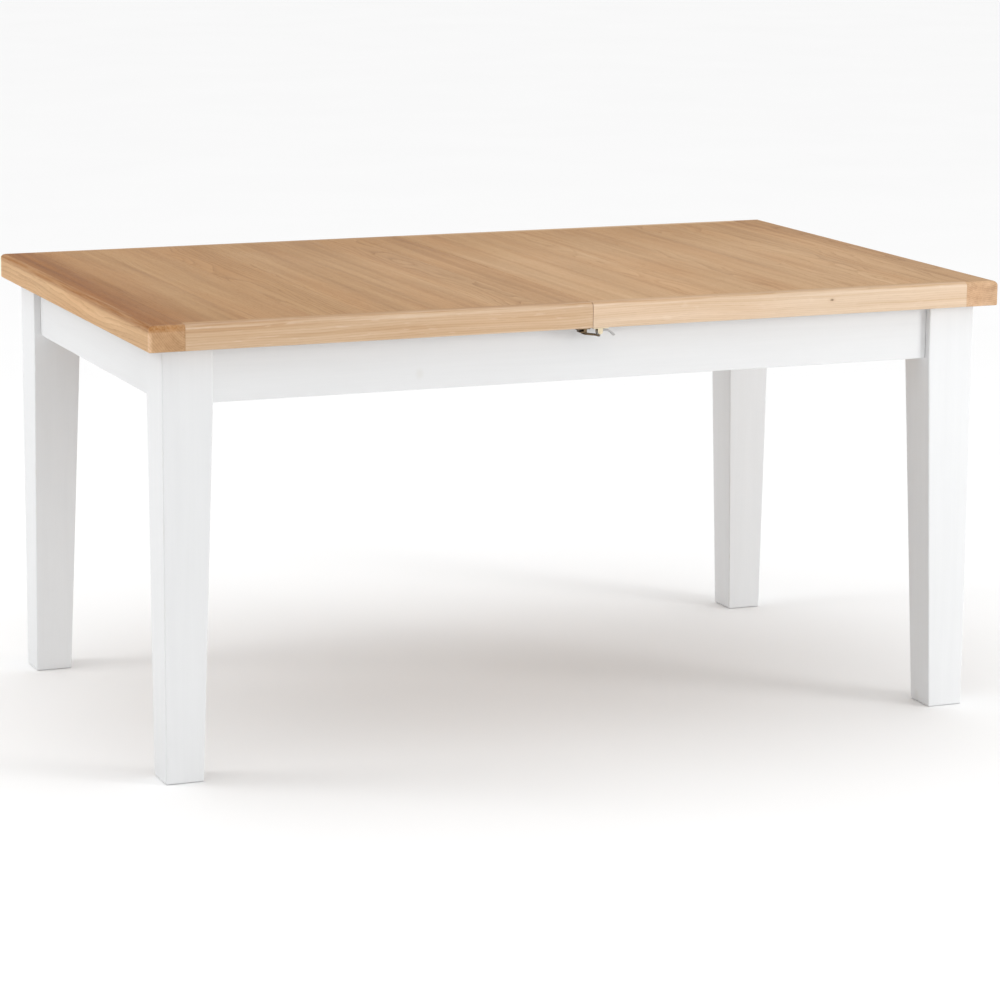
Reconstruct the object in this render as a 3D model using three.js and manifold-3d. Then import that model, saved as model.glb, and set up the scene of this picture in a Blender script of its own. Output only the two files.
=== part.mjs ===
// Extending dining table: a fixed painted frame on four tapered legs, and an oak top in two halves
// that slide apart along X to let in a folding leaf, which is stored below them.
// Millimetres. +X along the length, +Y to the back, +Z up, origin on the floor under the centre.
import * as THREE from "three";
import { mergeVertices } from "three/addons/utils/BufferGeometryUtils.js";
import Module from "manifold-3d";

// Overall size
const LENGTH = 1570;
const WIDTH = 950;
const HEIGHT = 780;

// Table top
const EDGE_DEPTH = 44; // depth of the end boards and lippings
const PANEL_THICKNESS = 22;
const END_BOARD_WIDTH = 62;
const LIPPING_WIDTH = 24;
const EDGE_ROUND = 8; // of the upper edge all round
const CORNER_ROUND = 3; // of the four corners in plan
const SEAM_GAP = 1;
const DOWEL_RADIUS = 4;
const DOWEL_REACH = 25; // how far a dowel goes into each half
const DOWEL_SPACING = 300;

// Frame
const TOP_CLEARANCE = 1; // between the frame and the sliding top
const OVERHANG = 30; // from the edge of the top to the outer faces of a leg
const LEG_WIDTH = 88;
const LEG_FOOT_WIDTH = 67;
const LEG_ARRIS = 2.5;
const LEG_CHAMFER = 16; // inner corner of the leg, behind the corner block
const APRON_HEIGHT = 94;
const APRON_THICKNESS = 20;
const APRON_SETBACK = 13; // from the outer face of a leg to the face of the apron
const BOARD_ARRIS = 1.5;
const GLIDE_PROUD = 0.5; // below the foot of the leg, which it is let into
const GLIDE_THICKNESS = 3;
const GLIDE_RADIUS = 12;
const GLIDE_NAIL_RADIUS = 2;
const GLIDE_NAIL_LENGTH = 14;

// Corner blocks and their bolts
const BLOCK_BOTTOM = 644;
const BLOCK_HEIGHT = 40;
const BLOCK_THICKNESS = 28;
const BLOCK_CLEARANCE = 0.4;
const BOLT_RADIUS = 4;
const BOLT_DEPTH_IN_LEG = 42;
const BOLT_TAIL = 9; // beyond the nut
const NUT_RADIUS = 7.5;
const NUT_HEIGHT = 6.5;
const WASHER_RADIUS = 12;
const WASHER_THICKNESS = 1.6;
const HOLE_CLEARANCE = 0.3;

// Slides: a hardwood runner with a tongue, in a steel channel on the long apron
const TRAVEL = 250;
const CHANNEL_BOTTOM = 696;
const CHANNEL_HEIGHT = 34;
const CHANNEL_DEPTH = 13;
const CHANNEL_WALL = 2;
const CHANNEL_STOP = 2;
const RUNNER_THICKNESS = 22;
const RUNNER_BOTTOM = 690;
const RUNNER_INNER_END = 25; // distance from the seam
const RUNNER_OUTER_END = 410;
const RUNNER_GAP = 1.5; // between the runner and the lips of the channel
const TONGUE_CLEARANCE = 0.5;

// Folding leaf, stored upside down on the cross rails with its two top faces together
const LEAF_THICKNESS = 18;
const LEAF_LENGTH = 2 * TRAVEL;
const LEAF_GAP = 0.5;
const LEAF_FOLD_Y = -105; // the fold's place in storage
const RAIL_INNER = 236;
const RAIL_WIDTH = 36;
const RAIL_BOTTOM = 644;
const RAIL_HEIGHT = 40;
const HINGE_X = 170;
const HINGE_LENGTH = 64;
const HINGE_LEAF = 22;
const HINGE_PLATE = 1.5;
const HINGE_KNUCKLE = 3.5;
const HINGE_CLEARANCE = 0.3;
const PIVOT_RADIUS = 4;
const PIVOT_PLATE = 3;
const PIVOT_WIDTH = 32;
const PIVOT_FOOT = 30;
const PIVOT_HEAD = 9.5; // metal round the pivot's hole
const PIVOT_GAP = 4; // between the end of the leaf and the bracket on the rail
const PIVOT_PIN_LENGTH = 9;
const PIVOT_CLEARANCE = 0.25;

// Catches under the long edges, one at the front and one at the back of the seam
const CATCH_Y = WIDTH / 2 - 13;
const CATCH_PLATE = 2;
const CATCH_HALF_WIDTH = 9;
const KEEPER_PLATE_FROM = 3; // distances from the seam
const KEEPER_PLATE_TO = 28;
const KEEPER_LUG = { near: 13, far: 18, web: 2.5, drop: 7.5, lip: 1.5, halfWidth: 4 };
const BASE_PLATE_TO = 31;
const LEVER_PIVOT = { x: 17, z: -8 };
const EAR_RADIUS = 4.5;
const EAR_INNER = 4.5;
const EAR_OUTER = 6;
const RIVET_RADIUS = 2;
const RIVET_CLEARANCE = 0.15;
const LEVER_HALF_WIDTH = 4.2;
const LEVER_EYE = 4.4;
const LEVER_TAIL = { x: 29, z: -7, thickness: 2 };
const LOOP_PIN = { x: -2, z: -6 }; // from the lever's pivot
const LOOP_EYE = 3;
const LOOP_WIRE = 2.2;
const LOOP_LENGTH = 29;
const LOOP_HALF_WIDTH = 8;
const LOOP_RISE = THREE.MathUtils.degToRad(8);

const ROUND_STEPS = 4; // steps in a quarter turn of a small round
const BORE_SIDES = 16;

// Levels and faces that follow from the sizes above
const HALF_LENGTH = LENGTH / 2;
const HALF_WIDTH = WIDTH / 2;
const EDGE_BOTTOM = HEIGHT - EDGE_DEPTH;
const PANEL_BOTTOM = HEIGHT - PANEL_THICKNESS;
const FRAME_TOP = EDGE_BOTTOM - TOP_CLEARANCE;
const APRON_BOTTOM = FRAME_TOP - APRON_HEIGHT;
const LEG_OUT_X = HALF_LENGTH - OVERHANG;
const LEG_OUT_Y = HALF_WIDTH - OVERHANG;
const LEG_IN_X = LEG_OUT_X - LEG_WIDTH;
const LEG_IN_Y = LEG_OUT_Y - LEG_WIDTH;
const APRON_OUT_X = LEG_OUT_X - APRON_SETBACK;
const APRON_OUT_Y = LEG_OUT_Y - APRON_SETBACK;
const APRON_IN_X = APRON_OUT_X - APRON_THICKNESS;
const APRON_IN_Y = APRON_OUT_Y - APRON_THICKNESS;
const BLOCK_MIDDLE = BLOCK_BOTTOM + BLOCK_HEIGHT / 2;
const RAIL_TOP = RAIL_BOTTOM + RAIL_HEIGHT;
const LEAF_BOTTOM = RAIL_TOP + LEAF_GAP;
const FOLD_LEVEL = LEAF_BOTTOM + LEAF_THICKNESS; // top face of the lower leaf half
const LEAF_FACE = FOLD_LEVEL + LEAF_GAP; // face of the upper leaf half, downwards in storage
const LEAF_TOP = LEAF_FACE + LEAF_THICKNESS;
const PIVOT_Z = (LEAF_FACE + HEIGHT) / 2; // half a turn about it brings the face up to the top
const PIVOT_Y = LEAF_FOLD_Y / 2; // and the fold to the middle of the table

const SIDES = { left: -1, right: 1 };
const EDGES = { front: -1, back: 1 };

const oak = new THREE.MeshStandardMaterial({ color: 0xc49e7a, roughness: 0.55 });
const oakEdge = new THREE.MeshStandardMaterial({ color: 0xd9b692, roughness: 0.5 });
const paint = new THREE.MeshStandardMaterial({ color: 0xf0f0ee, roughness: 0.45 });
const beech = new THREE.MeshStandardMaterial({ color: 0xd8b98c, roughness: 0.6 });
const steel = new THREE.MeshStandardMaterial({ color: 0xa9abad, roughness: 0.35, metalness: 1 });
const brass = new THREE.MeshStandardMaterial({ color: 0xc8a35c, roughness: 0.35, metalness: 1 });
const nylon = new THREE.MeshStandardMaterial({ color: 0x2c2c2c, roughness: 0.6 });

const wasm = await Module();
wasm.setup();

// The geometry as a solid that can be joined and cut.
function solid(geometry) {
  const bare = geometry.index ? geometry.toNonIndexed() : geometry.clone();
  bare.deleteAttribute("normal");
  bare.deleteAttribute("uv");
  const merged = mergeVertices(bare, 1e-4);
  return new wasm.Manifold(
    new wasm.Mesh({
      numProp: 3,
      vertProperties: merged.attributes.position.array,
      triVerts: new Uint32Array(merged.index.array),
    }),
  );
}

function geometryOf(body) {
  const { vertProperties, triVerts } = body.getMesh();
  const indexed = new THREE.BufferGeometry()
    .setAttribute("position", new THREE.BufferAttribute(new Float32Array(vertProperties), 3))
    .setIndex(new THREE.BufferAttribute(new Uint32Array(triVerts), 1));
  const flat = indexed.toNonIndexed();
  flat.computeVertexNormals();
  return flat;
}

function cut(geometry, ...tools) {
  return geometryOf(tools.reduce((body, tool) => body.subtract(solid(tool)), solid(geometry)));
}

function join(...pieces) {
  return geometryOf(pieces.map(solid).reduce((body, piece) => body.add(piece)));
}

function common(geometry, tool) {
  return geometryOf(solid(geometry).intersect(solid(tool)));
}

// A box between two opposite corners, in either order.
function box(a, b) {
  const low = new THREE.Vector3(...a).min(new THREE.Vector3(...b));
  const high = new THREE.Vector3(...a).max(new THREE.Vector3(...b));
  const size = high.clone().sub(low);
  const middle = low.add(high).multiplyScalar(0.5);
  return new THREE.BoxGeometry(...size).translate(...middle);
}

// A round bar between two points.
function bar(radius, from, to, sides = BORE_SIDES) {
  const start = new THREE.Vector3(...from);
  const along = new THREE.Vector3(...to).sub(start);
  const turn = new THREE.Quaternion().setFromUnitVectors(
    new THREE.Vector3(0, 1, 0),
    along.clone().normalize(),
  );
  return new THREE.CylinderGeometry(radius, radius, along.length(), sides)
    .applyQuaternion(turn)
    .translate(...start.addScaledVector(along, 0.5));
}

// An outline given in the (y, z), (x, z) or (x, y) plane, drawn out along the third axis.
function extrude(outline, axis, from, to, options = {}) {
  const low = Math.min(from, to);
  const depth = Math.abs(to - from);
  const shape = new THREE.ExtrudeGeometry(outline, {
    depth,
    bevelEnabled: false,
    curveSegments: ROUND_STEPS,
    ...options,
  });
  if (axis === "z") return shape.translate(0, 0, low);
  const X = new THREE.Vector3(1, 0, 0);
  const Y = new THREE.Vector3(0, 1, 0);
  const Z = new THREE.Vector3(0, 0, 1);
  const turned = new THREE.Matrix4();
  if (axis === "x") return shape.applyMatrix4(turned.makeBasis(Y, Z, X)).translate(low, 0, 0);
  return shape.applyMatrix4(turned.makeBasis(X, Z, Y.negate())).translate(0, low + depth, 0);
}

function polygon(points) {
  return new THREE.Shape(points.map(([u, v]) => new THREE.Vector2(u, v)));
}

function roundedRectangle(u0, v0, u1, v1, radius) {
  const [left, right] = [Math.min(u0, u1), Math.max(u0, u1)];
  const [low, high] = [Math.min(v0, v1), Math.max(v0, v1)];
  const quarter = Math.PI / 2;
  return new THREE.Shape()
    .absarc(right - radius, low + radius, radius, -quarter, 0, false)
    .absarc(right - radius, high - radius, radius, 0, quarter, false)
    .absarc(left + radius, high - radius, radius, quarter, 2 * quarter, false)
    .absarc(left + radius, low + radius, radius, 2 * quarter, 3 * quarter, false);
}

// A closed solid through level outlines that all have the same number of points.
function loft(levels) {
  const rings = levels.map(({ outline, z }) => {
    const points = outline.getPoints(ROUND_STEPS);
    if (points[0].distanceTo(points.at(-1)) < 1e-6) points.pop();
    return points.map((p) => new THREE.Vector3(p.x, p.y, z));
  });
  const corners = [];
  const count = rings[0].length;
  for (let level = 1; level < rings.length; level++) {
    for (let i = 0; i < count; i++) {
      const next = (i + 1) % count;
      const [a, b] = [rings[level - 1][i], rings[level - 1][next]];
      const [c, d] = [rings[level][next], rings[level][i]];
      corners.push(a, b, c, a, c, d);
    }
  }
  for (let i = 1; i < count - 1; i++) {
    corners.push(rings[0][0], rings[0][i + 1], rings[0][i]);
    corners.push(rings.at(-1)[0], rings.at(-1)[i], rings.at(-1)[i + 1]);
  }
  return new THREE.BufferGeometry().setFromPoints(corners);
}

function mesh(name, geometry, material) {
  const piece = new THREE.Mesh(geometry, material);
  piece.name = name;
  return piece;
}

// Frame: legs, glides, aprons, corner blocks and bolts

function leg(sideX, sideY) {
  const outline = (width) =>
    roundedRectangle(
      sideX * LEG_OUT_X,
      sideY * LEG_OUT_Y,
      sideX * (LEG_OUT_X - width),
      sideY * (LEG_OUT_Y - width),
      LEG_ARRIS,
    );
  const post = loft([
    { outline: outline(LEG_FOOT_WIDTH), z: GLIDE_PROUD },
    { outline: outline(LEG_WIDTH), z: APRON_BOTTOM },
    { outline: outline(LEG_WIDTH), z: FRAME_TOP },
  ]);
  const inner = [sideX * LEG_IN_X, sideY * LEG_IN_Y];
  const beyond = 1;
  const reach = LEG_CHAMFER + beyond;
  const corner = polygon([
    [inner[0] + sideX * reach, inner[1] - sideY * beyond],
    [inner[0] - sideX * beyond, inner[1] - sideY * beyond],
    [inner[0] - sideX * beyond, inner[1] + sideY * reach],
  ]);
  const foot = footCentre(sideX, sideY);
  return cut(
    post,
    extrude(corner, "z", BLOCK_BOTTOM, FRAME_TOP + beyond),
    bar(
      BOLT_RADIUS + HOLE_CLEARANCE,
      diagonal(sideX, sideY, boltStart() - HOLE_CLEARANCE),
      diagonal(sideX, sideY, blockFace()),
    ),
    bar(
      GLIDE_RADIUS + HOLE_CLEARANCE,
      [...foot, 0],
      [...foot, GLIDE_THICKNESS],
      2 * BORE_SIDES,
    ),
    bar(
      GLIDE_NAIL_RADIUS + HOLE_CLEARANCE,
      [...foot, 0],
      [...foot, GLIDE_THICKNESS + GLIDE_NAIL_LENGTH + HOLE_CLEARANCE],
    ),
  );
}

function footCentre(sideX, sideY) {
  const inset = LEG_FOOT_WIDTH / 2;
  return [sideX * (LEG_OUT_X - inset), sideY * (LEG_OUT_Y - inset)];
}

function glide(sideX, sideY) {
  const foot = footCentre(sideX, sideY);
  return join(
    bar(GLIDE_RADIUS, [...foot, 0], [...foot, GLIDE_THICKNESS], 2 * BORE_SIDES),
    bar(GLIDE_NAIL_RADIUS, [...foot, 1], [...foot, GLIDE_THICKNESS + GLIDE_NAIL_LENGTH]),
  );
}

function longApron(sideY) {
  const outline = roundedRectangle(
    sideY * APRON_OUT_Y,
    APRON_BOTTOM,
    sideY * APRON_IN_Y,
    FRAME_TOP,
    BOARD_ARRIS,
  );
  return extrude(outline, "x", -LEG_IN_X, LEG_IN_X);
}

function endApron(sideX) {
  const outline = roundedRectangle(
    sideX * APRON_OUT_X,
    APRON_BOTTOM,
    sideX * APRON_IN_X,
    FRAME_TOP,
    BOARD_ARRIS,
  );
  return extrude(outline, "y", -LEG_IN_Y, LEG_IN_Y);
}

// Distances along the diagonal of a corner, inwards from where the aprons' inner faces would meet.
function blockFace() {
  const toChamfer = APRON_IN_X - LEG_IN_X + APRON_IN_Y - LEG_IN_Y - LEG_CHAMFER;
  return toChamfer / Math.SQRT2 + BLOCK_CLEARANCE;
}

function boltStart() {
  return blockFace() - BOLT_DEPTH_IN_LEG;
}

// The point at this distance along a corner's diagonal, and this far to the side of it.
function diagonal(sideX, sideY, distance, aside = 0) {
  return [
    sideX * (APRON_IN_X - (distance - aside) / Math.SQRT2),
    sideY * (APRON_IN_Y - (distance + aside) / Math.SQRT2),
    BLOCK_MIDDLE,
  ];
}

function cornerBlock(sideX, sideY) {
  const near = blockFace();
  const far = near + BLOCK_THICKNESS;
  const corner = (distance, side) =>
    diagonal(sideX, sideY, distance, side * (distance - BLOCK_CLEARANCE)).slice(0, 2);
  const outline = polygon([corner(near, -1), corner(near, 1), corner(far, 1), corner(far, -1)]);
  const hole = bar(
    BOLT_RADIUS + HOLE_CLEARANCE,
    diagonal(sideX, sideY, near - 1),
    diagonal(sideX, sideY, far + 1),
  );
  return cut(extrude(outline, "z", BLOCK_BOTTOM, BLOCK_BOTTOM + BLOCK_HEIGHT), hole);
}

// The hanger bolt with its washer and nut tight against the corner block, drawn along +Y.
function cornerBolt() {
  const at = (distance) => [0, distance, 0];
  const washer = BOLT_DEPTH_IN_LEG + BLOCK_THICKNESS + BLOCK_CLEARANCE;
  const nut = washer + WASHER_THICKNESS;
  const nutEnd = nut + NUT_HEIGHT;
  return join(
    bar(BOLT_RADIUS, at(0), at(nutEnd + BOLT_TAIL)),
    bar(WASHER_RADIUS, at(washer), at(nut)),
    bar(NUT_RADIUS, at(nut - WASHER_THICKNESS / 2), at(nutEnd), 6),
  );
}

function placedBolt(name, sideX, sideY) {
  const bolt = mesh(name, cornerBolt(), steel);
  const inwards = new THREE.Vector3(-sideX, -sideY, 0).normalize();
  bolt.position.set(...diagonal(sideX, sideY, boltStart()));
  bolt.quaternion.setFromUnitVectors(new THREE.Vector3(0, 1, 0), inwards);
  return bolt;
}

function crossRail(sideX) {
  const outline = roundedRectangle(
    sideX * RAIL_INNER,
    RAIL_BOTTOM,
    sideX * (RAIL_INNER + RAIL_WIDTH),
    RAIL_TOP,
    BOARD_ARRIS,
  );
  return extrude(outline, "y", -APRON_IN_Y, APRON_IN_Y);
}

// Slides

function slideChannel(sideX, sideY) {
  const back = sideY * APRON_IN_Y;
  const web = sideY * (APRON_IN_Y - CHANNEL_WALL);
  const lips = sideY * (APRON_IN_Y - CHANNEL_DEPTH);
  const top = CHANNEL_BOTTOM + CHANNEL_HEIGHT;
  const section = polygon([
    [back, CHANNEL_BOTTOM],
    [lips, CHANNEL_BOTTOM],
    [lips, CHANNEL_BOTTOM + CHANNEL_WALL],
    [web, CHANNEL_BOTTOM + CHANNEL_WALL],
    [web, top - CHANNEL_WALL],
    [lips, top - CHANNEL_WALL],
    [lips, top],
    [back, top],
  ]);
  const stopFace = sideX * (RUNNER_OUTER_END + TRAVEL + 1);
  const outerEnd = stopFace + sideX * CHANNEL_STOP;
  return join(
    extrude(section, "x", sideX * RUNNER_INNER_END, outerEnd),
    box([stopFace, back, CHANNEL_BOTTOM], [outerEnd, lips, top]),
  );
}

function runner(sideX, sideY) {
  const outer = APRON_IN_Y - CHANNEL_DEPTH - RUNNER_GAP;
  const tip = sideY * (APRON_IN_Y - CHANNEL_WALL - TONGUE_CLEARANCE);
  const face = sideY * outer;
  const inner = sideY * (outer - RUNNER_THICKNESS);
  const tongueLow = CHANNEL_BOTTOM + CHANNEL_WALL + TONGUE_CLEARANCE;
  const tongueHigh = CHANNEL_BOTTOM + CHANNEL_HEIGHT - CHANNEL_WALL - TONGUE_CLEARANCE;
  const section = polygon([
    [inner, RUNNER_BOTTOM],
    [face, RUNNER_BOTTOM],
    [face, tongueLow],
    [tip, tongueLow],
    [tip, tongueHigh],
    [face, tongueHigh],
    [face, PANEL_BOTTOM],
    [inner, PANEL_BOTTOM],
  ]);
  return extrude(section, "x", sideX * RUNNER_INNER_END, sideX * RUNNER_OUTER_END);
}

// Table top: one blank with a rounded upper edge, divided into its boards

function topBlank() {
  const inset = [HALF_LENGTH - EDGE_ROUND, HALF_WIDTH - EDGE_ROUND];
  const rounded = extrude(
    polygon([
      [-inset[0], -inset[1]],
      [inset[0], -inset[1]],
      [inset[0], inset[1]],
      [-inset[0], inset[1]],
    ]),
    "z",
    EDGE_BOTTOM - 1,
    HEIGHT - EDGE_ROUND,
    {
      bevelEnabled: true,
      bevelThickness: EDGE_ROUND,
      bevelSize: EDGE_ROUND,
      bevelSegments: 2 * ROUND_STEPS,
    },
  );
  const plan = roundedRectangle(
    -HALF_LENGTH,
    -HALF_WIDTH,
    HALF_LENGTH,
    HALF_WIDTH,
    CORNER_ROUND,
  );
  return common(rounded, extrude(plan, "z", EDGE_BOTTOM, HEIGHT));
}

const blank = topBlank();
const PANEL_END = HALF_LENGTH - END_BOARD_WIDTH;
const PANEL_SIDE = HALF_WIDTH - LIPPING_WIDTH;
const SEAM_FACE = SEAM_GAP / 2;

function endBoard(sideX) {
  return common(
    blank,
    box(
      [sideX * PANEL_END, -HALF_WIDTH, EDGE_BOTTOM],
      [sideX * HALF_LENGTH, HALF_WIDTH, HEIGHT],
    ),
  );
}

function lipping(sideX, sideY) {
  return common(
    blank,
    box(
      [sideX * SEAM_FACE, sideY * PANEL_SIDE, EDGE_BOTTOM],
      [sideX * PANEL_END, sideY * HALF_WIDTH, HEIGHT],
    ),
  );
}

function dowel(y, radius, from, to) {
  const z = HEIGHT - PANEL_THICKNESS / 2;
  return bar(radius, [from, y, z], [to, y, z]);
}

const DOWELS = { front: -DOWEL_SPACING, middle: 0, back: DOWEL_SPACING };

function topPanel(sideX) {
  const hole = (y) =>
    dowel(y, DOWEL_RADIUS + HOLE_CLEARANCE, 0, sideX * (DOWEL_REACH + HOLE_CLEARANCE));
  return cut(
    box(
      [sideX * SEAM_FACE, -PANEL_SIDE, PANEL_BOTTOM],
      [sideX * PANEL_END, PANEL_SIDE, HEIGHT],
    ),
    ...Object.values(DOWELS).map(hole),
  );
}

// Folding leaf

// What a hinge takes out of the two leaf halves, or the hinge itself with no clearance.
function hingeShape(x, clearance) {
  const half = HINGE_LENGTH / 2 + clearance;
  const middle = (FOLD_LEVEL + LEAF_FACE) / 2;
  const plate = (low, high) =>
    box([x - half, LEAF_FOLD_Y, low], [x + half, LEAF_FOLD_Y + HINGE_LEAF + clearance, high]);
  return [
    plate(FOLD_LEVEL - HINGE_PLATE - clearance, FOLD_LEVEL + (clearance ? LEAF_GAP / 2 : 0)),
    plate(LEAF_FACE - (clearance ? LEAF_GAP / 2 : 0), LEAF_FACE + HINGE_PLATE + clearance),
    bar(
      HINGE_KNUCKLE + clearance,
      [x - half, LEAF_FOLD_Y, middle],
      [x + half, LEAF_FOLD_Y, middle],
    ),
  ];
}

function leafHalf(low) {
  const ends = LEAF_LENGTH / 2;
  return cut(
    box([-ends, LEAF_FOLD_Y, low], [ends, LEAF_FOLD_Y + HALF_WIDTH, low + LEAF_THICKNESS]),
    ...hingeShape(-HINGE_X, HINGE_CLEARANCE),
    ...hingeShape(HINGE_X, HINGE_CLEARANCE),
  );
}

// An upright with a round head at the pivot, in the (y, z) plane.
function pivotUpright(low) {
  const half = PIVOT_WIDTH / 2;
  return new THREE.Shape()
    .moveTo(PIVOT_Y - half, low)
    .lineTo(PIVOT_Y + half, low)
    .lineTo(PIVOT_Y + PIVOT_HEAD, PIVOT_Z)
    .absarc(PIVOT_Y, PIVOT_Z, PIVOT_HEAD, 0, Math.PI, false)
    .lineTo(PIVOT_Y - half, low);
}

// On the leaf: a foot on its upper side, an upright and a pin that points away from the leaf.
function leafPivotPin(sideX) {
  const end = sideX * (LEAF_LENGTH / 2);
  const inner = end - sideX * PIVOT_PLATE;
  const half = PIVOT_WIDTH / 2;
  return join(
    box(
      [end, PIVOT_Y - half, LEAF_TOP],
      [end - sideX * PIVOT_FOOT, PIVOT_Y + half, LEAF_TOP + PIVOT_PLATE],
    ),
    extrude(pivotUpright(LEAF_TOP), "x", inner, end),
    bar(
      PIVOT_RADIUS,
      [inner, PIVOT_Y, PIVOT_Z],
      [end + sideX * PIVOT_PIN_LENGTH, PIVOT_Y, PIVOT_Z],
    ),
  );
}

// On the cross rail: a foot and an upright with the hole for the leaf's pin.
function leafPivotBracket(sideX) {
  const face = sideX * (LEAF_LENGTH / 2 + PIVOT_GAP);
  const outer = face + sideX * PIVOT_PLATE;
  const footEnd = sideX * (RAIL_INNER + RAIL_WIDTH - 2);
  const half = PIVOT_WIDTH / 2;
  return cut(
    join(
      extrude(pivotUpright(RAIL_TOP), "x", face, outer),
      box([face, PIVOT_Y - half, RAIL_TOP], [footEnd, PIVOT_Y + half, RAIL_TOP + PIVOT_PLATE]),
    ),
    bar(
      PIVOT_RADIUS + PIVOT_CLEARANCE,
      [face - sideX, PIVOT_Y, PIVOT_Z],
      [outer + sideX, PIVOT_Y, PIVOT_Z],
    ),
  );
}

// Catches, in the frame of a group whose origin is on the seam at the underside of the edge

function catchKeeper() {
  const lug = KEEPER_LUG;
  const hook = polygon([
    [-lug.near, -1],
    [-lug.near, -lug.drop],
    [-lug.far, -lug.drop],
    [-lug.far, -lug.drop + lug.lip],
    [-lug.near - lug.web, -lug.drop + lug.lip],
    [-lug.near - lug.web, -1],
  ]);
  return join(
    box(
      [-KEEPER_PLATE_TO, -CATCH_HALF_WIDTH, -CATCH_PLATE],
      [-KEEPER_PLATE_FROM, CATCH_HALF_WIDTH, 0],
    ),
    extrude(hook, "y", -lug.halfWidth, lug.halfWidth),
  );
}

function catchBase() {
  const { x, z } = LEVER_PIVOT;
  const ear = new THREE.Shape()
    .moveTo(x - EAR_RADIUS, -1)
    .absarc(x, z, EAR_RADIUS, Math.PI, 2 * Math.PI, false)
    .lineTo(x + EAR_RADIUS, -1)
    .lineTo(x - EAR_RADIUS, -1);
  return join(
    box(
      [KEEPER_PLATE_FROM, -CATCH_HALF_WIDTH, -CATCH_PLATE],
      [BASE_PLATE_TO, CATCH_HALF_WIDTH, 0],
    ),
    extrude(ear, "y", -EAR_OUTER, -EAR_INNER),
    extrude(ear, "y", EAR_INNER, EAR_OUTER),
    bar(RIVET_RADIUS, [x, -EAR_OUTER - 0.5, z], [x, EAR_OUTER + 0.5, z]),
  );
}

// Drawn about its pivot: an eye for the rivet, an eye for the loop, and a bent finger tail.
function catchLever() {
  const { x, z, thickness } = LEVER_TAIL;
  const eye = (centre, radius) =>
    extrude(
      new THREE.Shape().absarc(centre.x, centre.z, radius, 0, 2 * Math.PI, false),
      "y",
      -LEVER_HALF_WIDTH,
      LEVER_HALF_WIDTH,
      { curveSegments: BORE_SIDES },
    );
  const tail = new THREE.Shape()
    .moveTo(0, LEVER_EYE - thickness)
    .quadraticCurveTo(x / 2, LEVER_EYE - thickness, x, z - thickness / 2)
    .lineTo(x, z + thickness / 2)
    .quadraticCurveTo(x / 2, LEVER_EYE, 0, LEVER_EYE);
  const cheek = polygon([
    [-LEVER_EYE, 0],
    [LOOP_PIN.x - LOOP_EYE, LOOP_PIN.z],
    [LOOP_PIN.x + LOOP_EYE, LOOP_PIN.z],
    [LEVER_EYE, 0],
  ]);
  const across = (centre, radius) =>
    bar(
      radius,
      [centre.x, -LEVER_HALF_WIDTH - 1, centre.z],
      [centre.x, LEVER_HALF_WIDTH + 1, centre.z],
    );
  return cut(
    join(
      eye({ x: 0, z: 0 }, LEVER_EYE),
      eye(LOOP_PIN, LOOP_EYE),
      extrude(cheek, "y", -LEVER_HALF_WIDTH, LEVER_HALF_WIDTH),
      extrude(tail, "y", -LEVER_HALF_WIDTH, LEVER_HALF_WIDTH),
    ),
    across({ x: 0, z: 0 }, RIVET_RADIUS + RIVET_CLEARANCE),
    across(LOOP_PIN, LOOP_WIRE / Math.SQRT2 + RIVET_CLEARANCE),
  );
}

// A flat ring of square wire, drawn about the bar that turns in the lever.
function catchLoop() {
  const half = LOOP_WIRE / 2;
  const ring = roundedRectangle(
    -LOOP_LENGTH - half,
    -LOOP_HALF_WIDTH - half,
    half,
    LOOP_HALF_WIDTH + half,
    LOOP_WIRE,
  );
  const opening = roundedRectangle(
    -LOOP_LENGTH + half,
    -LOOP_HALF_WIDTH + half,
    -half,
    LOOP_HALF_WIDTH - half,
    half,
  );
  ring.holes.push(opening);
  return extrude(ring, "z", -half, half);
}

// Assembly

const table = new THREE.Group();
const frame = new THREE.Group();
const halves = { left: new THREE.Group(), right: new THREE.Group() };
table.add(frame, halves.left, halves.right);

for (const [edge, sideY] of Object.entries(EDGES)) {
  frame.add(mesh(`apron_${edge}`, longApron(sideY), paint));
  for (const [side, sideX] of Object.entries(SIDES)) {
    const corner = `${edge}_${side}`;
    frame.add(
      mesh(`leg_${corner}`, leg(sideX, sideY), paint),
      mesh(`foot_glide_${corner}`, glide(sideX, sideY), nylon),
      mesh(`corner_block_${corner}`, cornerBlock(sideX, sideY), beech),
      placedBolt(`corner_bolt_${corner}`, sideX, sideY),
      mesh(`slide_channel_${corner}`, slideChannel(sideX, sideY), steel),
    );
    halves[side].add(
      mesh(`lipping_${corner}`, lipping(sideX, sideY), oakEdge),
      mesh(`runner_${corner}`, runner(sideX, sideY), beech),
    );
  }
}

for (const [side, sideX] of Object.entries(SIDES)) {
  frame.add(
    mesh(`apron_${side}`, endApron(sideX), paint),
    mesh(`cross_rail_${side}`, crossRail(sideX), beech),
    mesh(`leaf_hinge_${side}`, join(...hingeShape(sideX * HINGE_X, 0)), brass),
    mesh(`leaf_pivot_pin_${side}`, leafPivotPin(sideX), steel),
    mesh(`leaf_pivot_bracket_${side}`, leafPivotBracket(sideX), steel),
  );
  halves[side].add(
    mesh(`end_board_${side}`, endBoard(sideX), oakEdge),
    mesh(`top_panel_${side}`, topPanel(sideX), oak),
  );
}

frame.add(
  mesh("leaf_half_lower", leafHalf(LEAF_BOTTOM), oak),
  mesh("leaf_half_upper", leafHalf(LEAF_FACE), oak),
);

for (const [place, y] of Object.entries(DOWELS))
  halves.left.add(
    mesh(`dowel_${place}`, dowel(y, DOWEL_RADIUS, -DOWEL_REACH, DOWEL_REACH - 1), beech),
  );

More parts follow.
